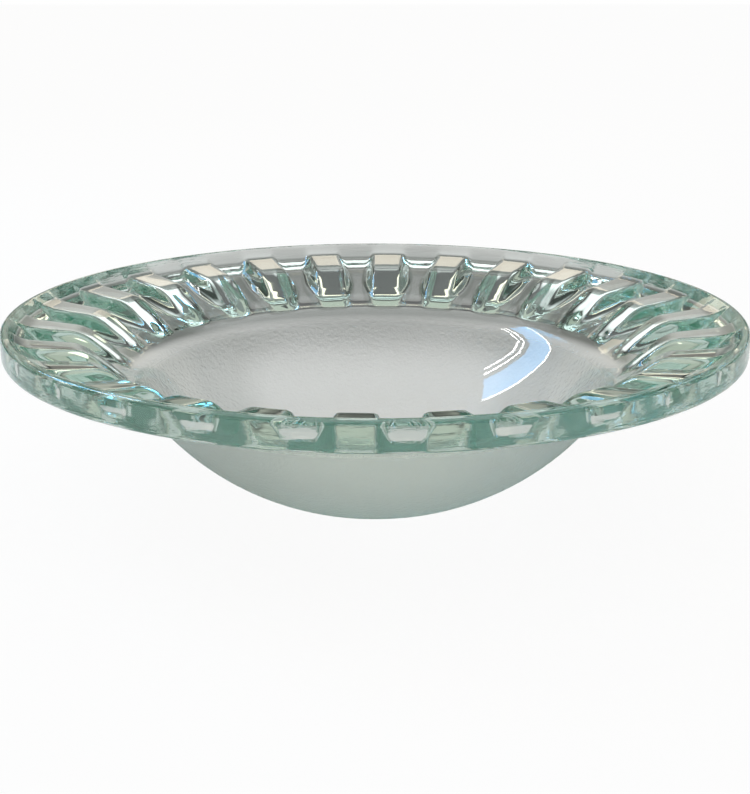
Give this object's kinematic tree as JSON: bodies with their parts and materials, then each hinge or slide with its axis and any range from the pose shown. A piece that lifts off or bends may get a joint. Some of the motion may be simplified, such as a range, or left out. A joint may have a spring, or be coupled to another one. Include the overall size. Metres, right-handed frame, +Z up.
{
  "type": "floating candle bowl",
  "caption": "Wide-brimmed round bowl of pale aqua pressed recycled glass with radial ribs on its brim, for holding water and floating candles.",
  "frame": {"origin": "middle of the flat foot, on the surface the bowl stands on", "axes": "+Z up along the bowl's axis, +X through the middle of one rib, +Y away from the camera"},
  "size_m": [0.3, 0.3, 0.074],
  "materials": {
    "pressed_glass": "pale aqua recycled glass, polished inside and on the brim, satin on the outside of the basin"
  },
  "bodies": {
    "root": {"glass_bowl": "pressed_glass"}
  },
  "joints": []
}
